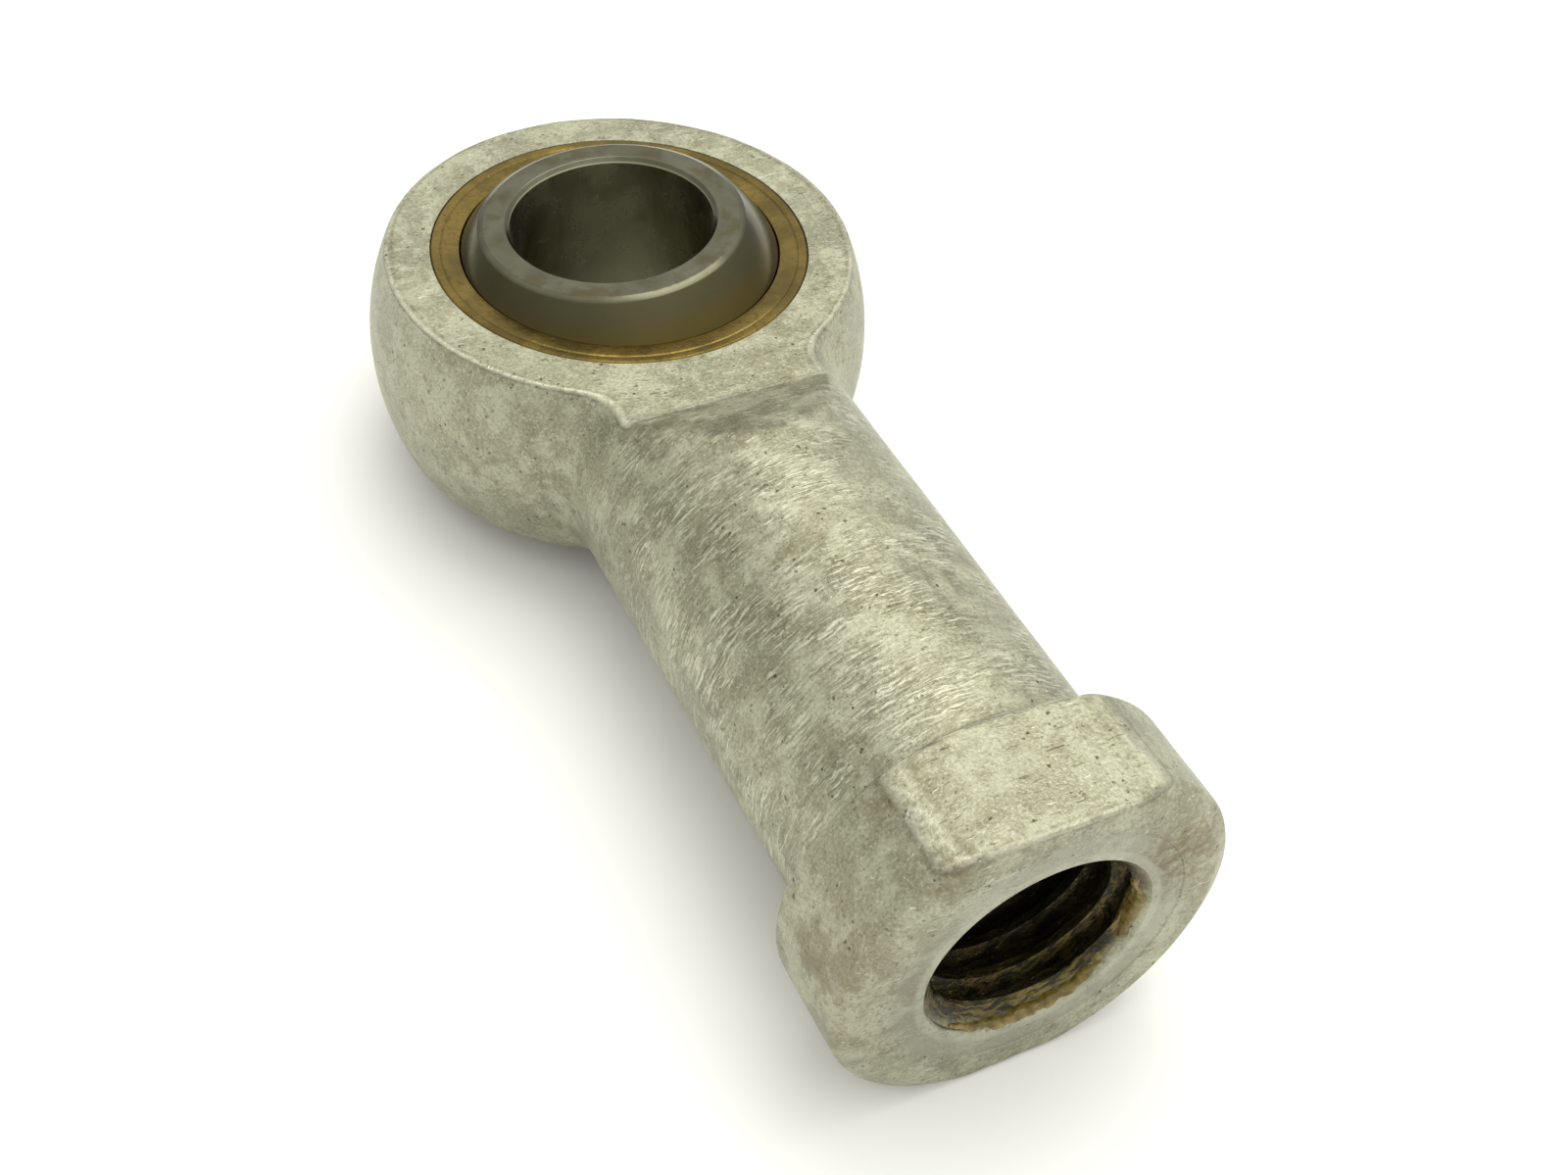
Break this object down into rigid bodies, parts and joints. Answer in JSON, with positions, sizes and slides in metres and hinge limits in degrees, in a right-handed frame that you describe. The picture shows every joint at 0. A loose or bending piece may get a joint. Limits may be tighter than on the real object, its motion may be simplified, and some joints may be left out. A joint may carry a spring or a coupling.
{
  "type": "rod end bearing",
  "caption": "Female rod end bearing: a steel ball with a through bore swivels in a bronze race inside a round eye, on a round shank with a wrench collar and a blind threaded hole.",
  "frame": {"origin": "centre of the ball, which is also the centre of the eye and of the race", "axes": "+Z is the eye's own axis, square to its milled faces; the shank and its threaded hole run along -Y; +X is across the eye. At rest the ball leans 4 degrees from +Z towards the heading 167 degrees from +X, as the pictured one does."},
  "size_m": [0.0302, 0.066, 0.0188],
  "materials": {
    "plated_steel": "dull plated steel with fine scratches and grime",
    "bronze": "formed bronze, greasy",
    "ball_steel": "ground and polished bearing steel",
    "nipple_brass": "turned brass",
    "spring_steel": "drawn spring wire"
  },
  "bodies": {
    "housing": {"rod_end_body": "plated_steel", "outer_race": "bronze", "nipple_shell": "nipple_brass", "nipple_spring": "spring_steel"},
    "ball": {"inner_ring": "ball_steel"},
    "check_ball": {"nipple_check_ball": "ball_steel"}
  },
  "joints": [
    {"name": "ball_swivel", "type": "hinge", "parent": "housing", "child": "ball", "pos_m": [0, 0, 0], "axis": [-0.225, -0.9744, 0], "range_deg": [-17, 9]},
    {"name": "check_ball_slide", "type": "slide", "parent": "housing", "child": "check_ball", "axis": [0, -1, 0], "range_m": [0, 0.0003], "stiffness_N_per_m": 300, "springref_m": -0.0005, "deforming": ["nipple_spring"]}
  ]
}
